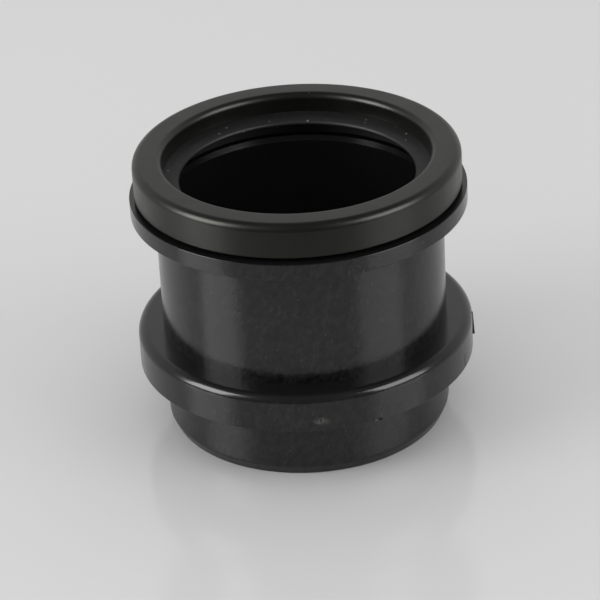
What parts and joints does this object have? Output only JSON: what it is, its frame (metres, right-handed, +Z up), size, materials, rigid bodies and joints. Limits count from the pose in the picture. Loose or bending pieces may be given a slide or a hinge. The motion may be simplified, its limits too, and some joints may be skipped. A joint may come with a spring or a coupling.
{
  "type": "push-fit pipe coupling",
  "caption": "Black push-fit waste coupling: a short spigot with a stop collar below, and a socket above whose rubber lip seal is held by a clip-on retaining cap.",
  "frame": {"origin": "centre of the spigot's foot, in the plane that the coupling stands on", "axes": "+Z runs up the coupling's axis, out of the mouth that the pipe enters; the part is round, so X and Y are free"},
  "size_m": [0.059, 0.059, 0.0502],
  "materials": {
    "moulded_body": "satin moulded black polypropylene with fine scuffs",
    "seal_rubber": "moulded black rubber, slightly dusty",
    "moulded_cap": "smooth matt black polypropylene"
  },
  "bodies": {
    "coupling_body": {"coupling_body": "moulded_body"},
    "seal_ring": {"seal_ring": "seal_rubber"},
    "retaining_cap": {"retaining_cap": "moulded_cap"}
  },
  "joints": [
    {"name": "seal_lift", "type": "slide", "parent": "coupling_body", "child": "seal_ring", "axis": [0, 0, 1], "range_m": [0, 0.012]},
    {"name": "cap_lift", "type": "slide", "parent": "seal_ring", "child": "retaining_cap", "axis": [0, 0, 1], "range_m": [0, 0.012]}
  ]
}
